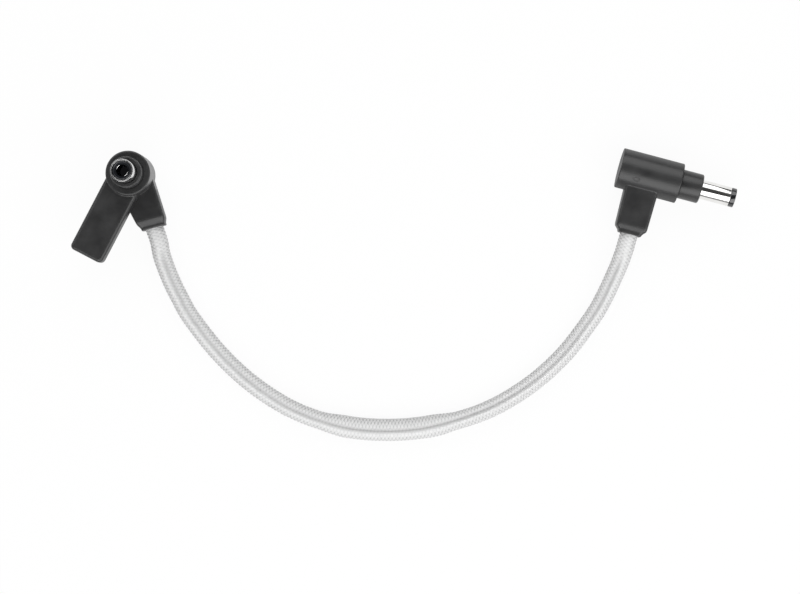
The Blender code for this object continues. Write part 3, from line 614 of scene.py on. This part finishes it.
def turned_metal(name, tones, roughness, axis, painted_shade_below=None, cut_end=0.0):
    """Plated metal that was turned: fine rings round its axis and a few smudges.

    If asked, its bore darkens below a height as painted shade, and its cut end is rougher than its wall.
    """
    material, tree, shader, place = new_finish(name, Metallic=1.0)
    smooth, rough = roughness
    if cut_end:
        facing = along(tree, node(tree, "ShaderNodeNewGeometry").outputs["Normal"], axis)
        smooth = span(tree, facing, 0.1, 0.5, smooth, smooth + cut_end)
        rough = span(tree, facing, 0.1, 0.5, rough, rough + cut_end)
    height = along(tree, place, axis)
    rings = node(tree, "ShaderNodeTexNoise", {"noise_dimensions": "1D"}, W=height, Scale=9000.0, Detail=4.0)
    smudge = noise(tree, place, scale=420.0)
    colour = tint(tree, smudge, *tones)
    if painted_shade_below is not None:
        # Painted shade: the bore's colour goes to a dark grey below the contact's mouth
        bore_shade_share = span(tree, height, painted_shade_below - 0.7 * MM, painted_shade_below - 0.15 * MM, 1.0, 0.0)
        colour = blend(tree, bore_shade_share, colour, BORE_PAINTED_SHADE)
    connect(tree, shader.inputs["Base Color"], colour)
    connect(tree, shader.inputs["Roughness"], span(tree, smudge, 0.3, 0.75, smooth, rough))
    bump(tree, shader, rings.outputs["Fac"], 0.0015 * MM)
    return material


def stamped_metal(name, tones, roughness):
    """Sheet metal with drawn scratches and uneven tarnish."""
    material, tree, shader, place = new_finish(name, Metallic=1.0)
    stretch = node(tree, "ShaderNodeMapping", Vector=place)
    stretch.inputs["Scale"].default_value = (1, 1, 14)
    scratch = noise(tree, stretch.outputs["Vector"], scale=1500.0, detail=5.0)
    tarnish = noise(tree, place, scale=380.0)
    connect(tree, shader.inputs["Base Color"], tint(tree, tarnish, *tones))
    connect(tree, shader.inputs["Roughness"], vary(tree, scratch, *roughness))
    bump(tree, shader, scratch, 0.004 * MM)
    return material


def yarn_lines(tree):
    """Waves of the single yarns in whichever strand of the braid lies on top."""
    lay = node(tree, "ShaderNodeUVMap", {"uv_map": "braid"}).outputs["UV"]
    right = Vector((STRANDS, CROSSINGS, 0))
    left = Vector((STRANDS, -CROSSINGS, 0))
    cell = node(tree, "ShaderNodeCombineXYZ", X=along(tree, lay, right), Y=along(tree, lay, left))
    top = node(tree, "ShaderNodeTexChecker", Vector=cell.outputs["Vector"], Scale=1.0)
    mix = node(tree, "ShaderNodeMix", {"data_type": "FLOAT"})
    connect(tree, mix.inputs[0], top.outputs["Fac"])
    for socket, direction in ((2, right), (3, left)):
        wave = node(tree, "ShaderNodeMath", {"operation": "SINE"})
        connect(tree, wave.inputs[0], along(tree, lay, direction * YARNS * 2 * math.pi))
        connect(tree, mix.inputs[socket], wave.outputs["Value"])
    return mix.outputs[0]


def braid_finish():
    """Close textile braid of pale yarn, with painted shade on its flanks and towards the inside of the cord's
    bend, in the gaps between strands and along the valley between its lobes.
    """
    material, tree, shader, place = new_finish("braid", Sheen_Weight=0.15, Sheen_Roughness=0.5)
    crown = node(tree, "ShaderNodeAttribute", {"attribute_name": "crown"}).outputs["Fac"]
    inward = node(tree, "ShaderNodeAttribute", {"attribute_name": "inward"}).outputs["Fac"]
    valley = node(tree, "ShaderNodeAttribute", {"attribute_name": "valley"}).outputs["Fac"]
    fuzz = noise(tree, place, scale=5200.0)
    # Painted shade across the section: the yarn is darker on the flanks and towards the inside of the bend,
    # and darker still in the gaps between strands
    pale = greys(tree, inward, (0.12, 0.66), (0.3, 0.74), (0.5, 0.68), (0.7, 0.66), (0.88, 0.62))
    painted_gap_shade = greys(tree, inward, (0.12, 0.33), (0.3, 0.6), (0.5, 0.44), (0.7, 0.38), (0.88, 0.23))
    braided = blend(tree, span(tree, crown, 0.05, 0.6, 1.0, 0.0), pale, painted_gap_shade)
    # Painted shade along the valley between the cord's two lobes
    shaded = blend(tree, span(tree, valley, 0.0, 1.0, 0.0, 0.75), braided, VALLEY_SHADE)
    flecked = blend(tree, span(tree, fuzz, 0.55, 0.75, 0.0, 0.2), shaded, YARN_FLECK)
    connect(tree, shader.inputs["Base Color"], flecked)
    connect(tree, shader.inputs["Roughness"], vary(tree, fuzz, 0.68, 0.85))
    bump(tree, shader, yarn_lines(tree), 0.012 * MM)
    return material


def rubber_finish():
    """Matt seal rubber with a faint bloom."""
    material, tree, shader, place = new_finish("seal_rubber", Specular_IOR_Level=0.35)
    bloom = noise(tree, place, scale=700.0)
    connect(tree, shader.inputs["Base Color"], tint(tree, bloom, *RUBBER_TONES))
    connect(tree, shader.inputs["Roughness"], vary(tree, bloom, 0.55, 0.75))
    bump(tree, shader, bloom, 0.01 * MM)
    return material


def wire_finish(name, tones):
    """Drawn covering of a wire or a cord's end, slightly uneven."""
    material, tree, shader, place = new_finish(name)
    pull = noise(tree, place, scale=900.0)
    connect(tree, shader.inputs["Base Color"], tint(tree, pull, *tones))
    connect(tree, shader.inputs["Roughness"], vary(tree, pull, 0.3, 0.45))
    bump(tree, shader, pull, 0.008 * MM)
    return material


plain_rear = plain_front.dot(plain_axis) - NOSE_TOP
plain_mouth = plain_rear + PLAIN_CONTACT_TOP
leg_way = heading(SWIVEL_LEG_DEG)
tail_way = heading(TAIL_DEG)
pvc = {"tones": BLACK_TONES, "roughness": (0.3, 0.38), "grain": MOULD_GRAIN, "sink": 0.05 * MM, "wear": 0.3}
elbow_sides = (leg_way, swivel_rear.dot(leg_way) + ELBOW_R, 0.06)
head_sides = (tail_way, swivel_rear.dot(tail_way) + HEAD_R, 0.08)
plain_sides = (plain_axis, plain_rear - BEYOND, 0.03)
elbow_pvc = moulded_finish("elbow_pvc", **pvc, dull_sides=elbow_sides)
head_pvc = moulded_finish("head_pvc", **pvc, dull_sides=head_sides)
plain_pvc = moulded_finish("plain_pvc", **pvc, dull_sides=plain_sides)
black_nylon = moulded_finish("black_nylon", BLACK_TONES, (0.28, 0.36), MOULD_GRAIN, 0.03 * MM, wear=0.3)
funnel_plastic = moulded_finish("funnel_plastic", FUNNEL_TONES, (0.1, 0.16), FINE_GRAIN, 0.005 * MM)
tip_plastic = moulded_finish("tip_plastic", TIP_TONES, (0.06, 0.1), FINE_GRAIN, 0.003 * MM, gloss=1.0)
pale_plastic = moulded_finish("pale_plastic", PALE_TONES, (0.42, 0.52), 0.006 * MM, 0.02 * MM)
swivel_nickel = turned_metal("swivel_nickel", DULL_NICKEL_TONES, (0.06, 0.1), UP, cut_end=0.16)
plain_nickel = turned_metal("plain_nickel", NICKEL_TONES, (0.05, 0.1), plain_axis)
swivel_bore_nickel = turned_metal("swivel_bore_nickel", NICKEL_TONES, (0.08, 0.16), UP, SWIVEL_CONTACT_TOP)
plain_bore_nickel = turned_metal("plain_bore_nickel", NICKEL_TONES, (0.08, 0.16), plain_axis, plain_mouth)
brass = stamped_metal("brass", BRASS_TONES, (0.22, 0.4))
steel = stamped_metal("spring_steel", STEEL_TONES, (0.2, 0.36))
solder = stamped_metal("solder", SOLDER_TONES, (0.18, 0.42))
braid = braid_finish()
rubber = rubber_finish()
red_wire = wire_finish("red_wire", RED_WIRE_TONES)
black_wire = wire_finish("black_wire", BLACK_WIRE_TONES)
inner_braid = wire_finish("cord_end_braid", CORD_END_TONES)


def finish_inner_pieces():
    """Give the CAD pieces that stay inside the plugs their finishes."""
    finishes = {
        "pale_plastic": pale_plastic,
        "brass": brass,
        "steel": steel,
        "solder": solder,
        "red_wire": red_wire,
        "black_wire": black_wire,
        "rubber": rubber,
        "braid": inner_braid,
    }
    for part in frame["record"]["subparts"]:
        finish = finishes.get(part["material_slot"])
        if finish:
            slots = frame["nodes"][part["node"]].data.materials
            slots.clear()
            slots.append(finish)


finish_inner_pieces()


# Braided cord

def smooth_line(points, count):
    """A Catmull-Rom curve through the points, with straight ends, in count even stretches, and its length."""
    fine = []
    for a, b, c, d in zip(points, points[1:], points[2:], points[3:]):
        for part in range(CURVE_PARTS):
            t = part / CURVE_PARTS
            bend = 2 * a - 5 * b + 4 * c - d
            turn = 3 * b - a - 3 * c + d
            fine.append((2 * b + (c - a) * t + bend * t**2 + turn * t**3) / 2)
    fine.append(points[-2])
    return even_line([points[0], *fine, points[-1]], count)


def even_line(line, count):
    """The line in count even stretches, and its length."""
    lengths = [0.0]
    for a, b in zip(line, line[1:]):
        lengths.append(lengths[-1] + (b - a).length)
    even = []
    part = 1
    for number in range(count + 1):
        target = lengths[-1] * number / count
        while part < len(lengths) - 1 and lengths[part] < target:
            part += 1
        share = (target - lengths[part - 1]) / (lengths[part] - lengths[part - 1])
        even.append(line[part - 1].lerp(line[part], share))
    return even, lengths[-1]


def ease(value):
    """Smooth step from 0 to 1 as a value goes from 0 to 1."""
    value = min(max(value, 0.0), 1.0)
    return value * value * (3 - 2 * value)


def cord_turn(distance):
    """Turn of the cord's section about its line, in radians."""
    place = distance / MM
    for (start, first), (end, second) in zip(CORD_TURNS, CORD_TURNS[1:]):
        if place <= end:
            break
    return math.radians(first + (second - first) * ease((place - start) / (end - start)))


def strand_relief(across, forward):
    """Height from 0 to 1 of whichever strand of the braid lies on top."""
    right = across + forward
    left = across - forward
    over = (math.floor(right) + math.floor(left)) % 2 == 0
    width, length = (right % 1, left % 1) if over else (left % 1, right % 1)
    crown = math.sin(math.pi * width) ** STRAND_FULLNESS
    return crown * (STRAND_UNDER + (1 - STRAND_UNDER) * math.sin(math.pi * length))


def cord_rings(line, length):
    """The cord's section at each point of its line: middle, two directions, half sizes and valley."""
    rings = []
    for number, middle in enumerate(line):
        ahead = line[min(number + 1, CORD_RINGS)] - line[max(number - 1, 0)]
        outer = ahead.cross(UP).normalized()
        over = outer.cross(ahead).normalized()
        distance = length * number / CORD_RINGS
        flat = ease((distance - CORD_FLAT_START) / CORD_FLAT_EASE)
        flat *= ease((CORD_FLAT_END - distance) / CORD_FLAT_EASE)
        half_width = (CORD_WIDTH + (CORD_FLAT_WIDTH - CORD_WIDTH) * flat) / 2
        half_height = (CORD_HEIGHT + (CORD_FLAT_HEIGHT - CORD_HEIGHT) * flat) / 2
        free = min(distance, length - distance) - CORD_SOCKET
        valley = CORD_VALLEY * ease((free - CORD_VALLEY_START) / CORD_VALLEY_EASE)
        angle = cord_turn(distance)
        turn = Matrix.Rotation(angle, 3, ahead.normalized())
        depth = math.hypot(half_height * math.cos(angle), half_width * math.sin(angle))
        lowered = middle - UP * (CORD_D / 2 - depth - STRAND_RELIEF)
        rings.append((lowered, turn @ outer, turn @ over, half_width, half_height, valley))
    return rings


def cord_form(rings):
    """One closed tube of two lobes through the rings, with its strands in relief."""
    bm = bmesh.new()
    bm.loops.layers.uv.new("braid")
    crown_layer = bm.verts.layers.float.new("crown")
    inward_layer = bm.verts.layers.float.new("inward")
    valley_layer = bm.verts.layers.float.new("valley")
    bmesh.ops.create_grid(bm, x_segments=CORD_SIDES, y_segments=CORD_RINGS, size=0.5, calc_uvs=True)
    for vert in bm.verts:
        around = vert.co.x + 0.5
        forward = vert.co.y + 0.5
        middle, outer, over, half_width, half_height, valley = rings[round(forward * CORD_RINGS)]
        crown = strand_relief(STRANDS * around, CROSSINGS * forward)
        angle = 2 * math.pi * around
        side = math.cos(angle)
        rise = math.sin(angle)
        relief = crown * STRAND_RELIEF * (STRAND_TOP + (1 - STRAND_TOP) * abs(side))
        out = Vector((side / half_width, rise / half_height)).normalized() * relief
        x = half_width * side + out.x
        y = half_height * rise + out.y
        sunk = valley * math.exp(-((half_width * side / CORD_VALLEY_WIDTH) ** 2))
        y -= rise * sunk
        vert.co = middle + outer * x + over * y
        vert[crown_layer] = crown
        vert[inward_layer] = 0.5 - side / 2
        vert[valley_layer] = sunk / CORD_VALLEY
    bmesh.ops.remove_doubles(bm, verts=bm.verts, dist=MERGE)
    bmesh.ops.holes_fill(bm, edges=[edge for edge in bm.edges if edge.is_boundary], sides=0)
    bmesh.ops.recalc_face_normals(bm, faces=bm.faces)
    return bm


def make_cord():
    """The braided cord, from its socket in the elbow's leg to its socket in the plain plug's leg."""
    legs = ((ELBOW, SWIVEL_LEG_REACH, SWIVEL_LEG_AXIS), (PLAIN, PLAIN_LEG_REACH, PLAIN_LEG_AXIS))
    ends = []
    for place, reach, axis in legs:
        ends.append([place @ Vector((x, 0, axis)) for x in (reach - CORD_SOCKET, reach)])
    route = [*ends[0], *CORD_ROUTE, *reversed(ends[1])]
    line, length = smooth_line(route, CORD_RINGS)
    form = cord_form(cord_rings(line, length))
    cord = piece("braided_cord", form, Matrix.Identity(4), braid, "braid", "lead", "cord")


make_cord()


# Moulded bodies

def leg_tools(reach, leg_axis, passage_axis, passage_r):
    """Cutters that open a leg for the cord's end and the wires behind it."""
    front = reach - CORD_SOCKET - SEAT
    back = front - CORD_END_LENGTH
    socket_r = CORD_D / 2 + CORD_CLEAR
    pocket = [
        (0, reach + BEYOND),
        (socket_r, reach + BEYOND),
        (socket_r, front - FIT),
        (CORD_POCKET_R, front - FIT),
        (CORD_POCKET_R, back - FIT),
        (0, back - FIT),
    ]
    passage = disc(passage_r, passage_r, back + FIT)
    return [
        ("DIFFERENCE", along_leg(cutter(pocket), leg_axis)),
        ("DIFFERENCE", along_leg(cutter(passage), passage_axis)),
    ]


def make_elbow():
    """Rear cup of the swivelling plug with its cord leg, and the cover that closes it."""
    cup = turned(disc(ELBOW_R, 0, ELBOW_TOP), BODY_ROUND)
    sections = leg_sections(SWIVEL_LEG_REACH, SWIVEL_LEG_AXIS, SWIVEL_LEG_SECTIONS)
    cavity = [
        (0, ELBOW_TOP + BEYOND),
        (BEARING_R, ELBOW_TOP + BEYOND),
        (BEARING_R, WEB_LOW),
        (CAVITY_R, WEB_LOW),
        (CAVITY_R, COVER_LEDGE),
        (COVER_RECESS_R, COVER_LEDGE),
        (COVER_RECESS_R, -BEYOND),
        (0, -BEYOND),
    ]
    groove = [
        (SEAL_R + SEAL_HALF_GROOVE, ELBOW_TOP + BEYOND),
        (SEAL_R + SEAL_HALF_GROOVE, SEAL_FLOOR),
        (SEAL_R - SEAL_HALF_GROOVE, SEAL_FLOOR),
        (SEAL_R - SEAL_HALF_GROOVE, ELBOW_TOP + BEYOND),
    ]
    tools = [
        ("UNION", leg_form(*sections, skew=SWIVEL_LEG_SKEW)),
        ("DIFFERENCE", cutter(cavity)),
        ("DIFFERENCE", cutter(groove)),
        *leg_tools(SWIVEL_LEG_REACH, SWIVEL_LEG_AXIS, SWIVEL_LEG_AXIS, SWIVEL_PASSAGE_R),
    ]
    body = worked(cup, tools, skin=True)
    piece("elbow_moulding", body, ELBOW, elbow_pvc, "black_pvc", "lead", "elbow_body")

    foot_r = COVER_R - COVER_FOOT
    cover = [
        (0, COVER_TOP),
        (COVER_R, COVER_TOP),
        (COVER_R, 0),
        (foot_r, 0),
        (foot_r - COVER_HOLLOW, COVER_HOLLOW),
        (0, COVER_HOLLOW),
    ]
    cover_form = turned(cover, COVER_ROUND)
    piece("elbow_cover_disc", cover_form, ELBOW, elbow_pvc, "black_pvc", "lead", "elbow_rear_cover")


def make_head():
    """Round head of the swivelling plug with its flat tail, its spindle with the nose, and its barrel."""
    shell = turned(disc(HEAD_R, HEAD_LOW, BODY_TOP), BODY_ROUND)
    bore = cutter(disc(HEAD_BORE_R, HEAD_LOW - BEYOND, BODY_TOP + BEYOND))
    body = worked(shell, [("UNION", tail_form()), ("DIFFERENCE", bore)], skin=True)
    piece("head_moulding", body, HEAD, head_pvc, "black_pvc", "swivel_head", "head_shell")

    tube_bore = SWIVEL_TUBE_R + FIT
    sleeve_bore = SWIVEL_SLEEVE_R + FIT
    spindle = [
        (SWIVEL_NOSE_R - NOSE_EDGE, NOSE_TOP),
        (SWIVEL_NOSE_R, NOSE_TOP - NOSE_EDGE),
        (SWIVEL_NOSE_R, BODY_TOP + FIT),
        (SWIVEL_CORE_R, BODY_TOP + FIT),
        (SWIVEL_CORE_R, HEAD_LOW),
        (HUB_R, HEAD_LOW),
        (HUB_R, HUB_GROOVE_TOP),
        (HUB_GROOVE_R, HUB_GROOVE_TOP),
        (HUB_GROOVE_R, HUB_GROOVE_LOW),
        (HUB_R, HUB_GROOVE_LOW),
        (HUB_R, HUB_LOW),
        (tube_bore, HUB_LOW),
        (tube_bore, SLEEVE_SHOULDER - FIT),
        (sleeve_bore, SLEEVE_SHOULDER - FIT),
        (sleeve_bore, NOSE_TOP),
    ]
    nose = turned(spindle, NOSE_ROUND)
    piece("head_nose", nose, HEAD, black_nylon, "black_nylon", "swivel_head", "head_spindle")
    radii = (SWIVEL_SLEEVE_R, SWIVEL_TUBE_R, SWIVEL_BORE_R, SWIVEL_CONTACT_WALL, SWIVEL_MOUTH_LEAD)
    fronts = (BARREL_TOP, SWIVEL_TIP_TOP, SWIVEL_CONTACT_TOP)
    finishes = (swivel_nickel, funnel_plastic, swivel_bore_nickel)
    make_barrel("swivel", HEAD, "swivel_head", finishes, radii, fronts, (HUB_LOW, SWIVEL_ROD_END))


def slot_tool(reach, top):
    """Cutter for the slot that parts a contact's two leaves, wide at its mouth."""
    bm = bmesh.new()
    bmesh.ops.create_cube(bm, size=2)
    for corner in bm.verts:
        mouth = corner.co.z > 0
        half_width = (SLOT_MOUTH if mouth else SLOT_WIDTH) / 2
        corner.co.x *= reach
        corner.co.y *= half_width
        corner.co.z = top + FIT if mouth else top - SLOT_DEPTH
    bm.transform(Matrix.Rotation(math.radians(SLOT_DEG), 4, "Z"))
    return bm


def make_barrel(side, place, body, finishes, radii, fronts, ends):
    """Sleeve, tip ring and slotted centre contact of one plug."""
    sleeve_finish, tip_finish, contact_finish = finishes
    sleeve_r, tube_r, bore_r, contact_wall, lead = radii
    sleeve_top, tip_top, contact_top = fronts
    tube_end, rod_end = ends
    sleeve_in = sleeve_r - SLEEVE_WALL
    tube_in = tube_r - SLEEVE_WALL
    contact_r = bore_r + contact_wall
    floor = SLEEVE_SHOULDER + SLEEVE_WALL
    sleeve = [
        (sleeve_in, sleeve_top),
        (sleeve_r, sleeve_top),
        (sleeve_r, SLEEVE_SHOULDER),
        (tube_r, SLEEVE_SHOULDER),
        (tube_r, tube_end),
        (tube_in, tube_end),
        (tube_in, floor),
        (sleeve_in, floor),
    ]
    sleeve_form = turned(sleeve, SLEEVE_ROUND)
    piece(f"{side}_sleeve_tube", sleeve_form, place, sleeve_finish, "nickel", body, f"{side}_barrel_sleeve")

    front = [(sleeve_in - FIT, tip_top)]
    if tip_top > sleeve_top:
        front = [(sleeve_r, tip_top), (sleeve_r, sleeve_top + FIT), (sleeve_in - FIT, sleeve_top + FIT)]
    tip = [
        *front,
        (sleeve_in - FIT, CONTACT_LOW + SEAT),
        (contact_r + FIT, CONTACT_LOW + SEAT),
        (contact_r + FIT, contact_top + FIT),
        (bore_r + FIT, contact_top + FIT),
        (bore_r + FIT + lead, tip_top),
    ]
    tip_form = turned(tip, TIP_ROUND)
    piece(f"{side}_tip_ring", tip_form, place, tip_finish, "tip_plastic", body, f"{side}_tip_insulator")

    contact = [
        (0, CONTACT_LOW + BORE_FLOOR),
        (bore_r, CONTACT_LOW + BORE_FLOOR),
        (bore_r, contact_top),
        (contact_r, contact_top),
        (contact_r, CONTACT_LOW),
        (ROD_R, CONTACT_LOW),
        (ROD_R, rod_end),
        (0, rod_end),
    ]
    slot = slot_tool(contact_r + FIT, contact_top)
    contact_form = worked(turned(contact, CONTACT_ROUND), [("DIFFERENCE", slot)])
    contact_name = f"{side}_centre_contact"
    piece(f"{side}_spring_contact", contact_form, place, contact_finish, "nickel", body, contact_name)


def gate_ring():
    """Oval bead of the mould's gate mark on the plain plug's side."""
    half_length = GATE_LENGTH / 2
    profile = []
    for step in range(GATE_SIDES):
        angle = 2 * math.pi * step / GATE_SIDES
        profile.append((half_length + GATE_BEAD * math.cos(angle), GATE_BEAD * math.sin(angle)))
    bm = turned(profile, steps=GATE_STEPS)
    bmesh.ops.scale(bm, vec=(GATE_WIDTH / GATE_LENGTH, 1, 1), verts=bm.verts)
    bm.transform(Matrix.Rotation(math.pi / 2, 4, "X"))
    bm.transform(Matrix.Translation((0, GATE_BEAD / 2 - PLAIN_R, GATE_FROM_REAR)))
    bm.transform(Matrix.Rotation(math.radians(GATE_TURN_DEG), 4, "Z"))
    bmesh.ops.recalc_face_normals(bm, faces=bm.faces)
    return bm


def make_plain_plug():
    """The plain plug's moulded body with its leg, its inner mould with the nose, and its barrel."""
    cylinder = turned(disc(PLAIN_R, 0, BODY_TOP), PLAIN_ROUND)
    sections = leg_sections(PLAIN_LEG_REACH, PLAIN_LEG_AXIS, PLAIN_LEG_SECTIONS)
    chamber = cutter(disc(PLAIN_CHAMBER_R, PLAIN_REAR_WALL, BODY_TOP + BEYOND))
    tools = [
        ("UNION", leg_form(*sections)),
        ("DIFFERENCE", chamber),
        *leg_tools(PLAIN_LEG_REACH, PLAIN_LEG_AXIS, PLAIN_PASSAGE_AXIS, PLAIN_PASSAGE_R),
    ]
    skin = worked(cylinder, tools, skin=True)
    body = worked(skin, [("UNION", gate_ring())])
    piece("plain_moulding", body, PLAIN, plain_pvc, "black_pvc", "lead", "plain_plug_body")

    tube_bore = PLAIN_TUBE_R + FIT
    sleeve_bore = PLAIN_SLEEVE_R + FIT
    inner_mould = [
        (PLAIN_NOSE_R - NOSE_EDGE, NOSE_TOP),
        (PLAIN_NOSE_R, NOSE_TOP - NOSE_EDGE),
        (PLAIN_NOSE_R, BODY_TOP + FIT),
        (PLAIN_CORE_R, BODY_TOP + FIT),
        (PLAIN_CORE_R, PLAIN_CORE_LOW),
        (tube_bore, PLAIN_CORE_LOW),
        (tube_bore, SLEEVE_SHOULDER - FIT),
        (sleeve_bore, SLEEVE_SHOULDER - FIT),
        (sleeve_bore, NOSE_TOP),
    ]
    nose = turned(inner_mould, NOSE_ROUND)
    piece("plain_nose", nose, PLAIN, black_nylon, "black_nylon", "lead", "plain_inner_mould")
    radii = (PLAIN_SLEEVE_R, PLAIN_TUBE_R, PLAIN_BORE_R, PLAIN_CONTACT_WALL, PLAIN_MOUTH_LEAD)
    fronts = (PLAIN_SLEEVE_TOP, BARREL_TOP, PLAIN_CONTACT_TOP)
    finishes = (plain_nickel, tip_plastic, plain_bore_nickel)
    make_barrel("plain", PLAIN, "lead", finishes, radii, fronts, (PLAIN_TUBE_END, PLAIN_ROD_END))


make_elbow()
make_head()
make_plain_plug()


# Floor, light and camera

def seen_rays(tree):
    """1 on rays from the camera and in reflections, and 0 on the rays that carry light."""
    path = node(tree, "ShaderNodeLightPath")
    total = path.outputs["Is Camera Ray"]
    for ray in ("Is Glossy Ray", "Is Transmission Ray"):
        either = node(tree, "ShaderNodeMath", {"operation": "MAXIMUM"})
        tree.links.new(total, either.inputs[0])
        tree.links.new(path.outputs[ray], either.inputs[1])
        total = either.outputs["Value"]
    return total


def make_floor():
    """White table: part of its own light, so that it shows white and keeps the object's shadow."""
    bm = bmesh.new()
    bmesh.ops.create_grid(bm, x_segments=1, y_segments=1, size=TABLE_HALF)
    floor = spare_object("floor", bm)
    material = bpy.data.materials.new("white_table")
    material.use_nodes = True
    tree = material.node_tree
    tree.nodes.clear()
    paper = node(tree, "ShaderNodeBsdfDiffuse", Color=(0.8, 0.8, 0.8, 1))
    glow = node(tree, "ShaderNodeEmission", Color=(1, 1, 1, 1), Strength=1.0)
    share = node(tree, "ShaderNodeMath", {"operation": "MULTIPLY"})
    tree.links.new(seen_rays(tree), share.inputs[0])
    share.inputs[1].default_value = TABLE_GLOW
    mix = node(tree, "ShaderNodeMixShader")
    tree.links.new(share.outputs["Value"], mix.inputs[0])
    tree.links.new(paper.outputs["BSDF"], mix.inputs[1])
    tree.links.new(glow.outputs["Emission"], mix.inputs[2])
    out = node(tree, "ShaderNodeOutputMaterial")
    tree.links.new(mix.outputs["Shader"], out.inputs["Surface"])
    floor.data.materials.append(material)


def make_world():
    """Grey walls with a dark strip low down, deeper at the far side, and a dark opening overhead."""
    world = bpy.data.worlds.new("studio")
    bpy.context.scene.world = world
    world.use_nodes = True
    tree = world.node_tree
    sky = tree.nodes["Background"]
    direction = node(tree, "ShaderNodeTexCoord").outputs["Generated"]
    sides = node(tree, "ShaderNodeSeparateXYZ", Vector=direction).outputs
    upper = ((0.6, WALL_TONE), (0.92, OPENING_TONE))
    near = greys(tree, sides["Z"], (0.06, WALL_TONE), (0.08, 0), (0.12, 0), (0.15, WALL_TONE), *upper)
    far = greys(tree, sides["Z"], (0, 0), (0.24, 0), (0.28, WALL_TONE), *upper)
    walls = blend(tree, span(tree, sides["Y"], -0.1, 0.1, 0.0, 1.0), near, far)
    seen = node(tree, "ShaderNodeLightPath").outputs["Is Camera Ray"]
    connect(tree, sky.inputs["Color"], blend(tree, seen, walls, (1, 1, 1, 1)))


def make_lamp(name, degrees, away, height, width, depth, power):
    """Softbox that stands away from the lead at a heading and a height, and aims at it."""
    light = bpy.data.lights.new(name, "AREA")
    light.shape = "RECTANGLE"
    light.size = width
    light.size_y = depth
    light.energy = power
    lamp = bpy.data.objects.new(name, light)
    place = LAMP_AIM + heading(degrees) * away + UP * height
    lamp.location = place
    lamp.rotation_euler = (LAMP_AIM - place).to_track_quat("-Z", "Y").to_euler()
    lamp.visible_camera = False
    bpy.context.scene.collection.objects.link(lamp)


def make_camera():
    """Camera that looks straight down on the lead."""
    data = bpy.data.cameras.new("camera")
    data.lens = CAMERA_LENS
    data.sensor_width = CAMERA_SENSOR
    camera = bpy.data.objects.new("camera", data)
    camera.location = CAMERA_PLACE
    bpy.context.scene.collection.objects.link(camera)
    bpy.context.scene.camera = camera


make_floor()
make_world()
make_lamp("softbox_far", degrees=100, away=0.442, height=0.371, width=1.1, depth=0.52, power=3.1)
make_lamp("softbox_near", degrees=285, away=0.37, height=0.42, width=1.1, depth=0.46, power=4.1)
make_camera()
bpy.context.scene.view_settings.view_transform = "Standard"
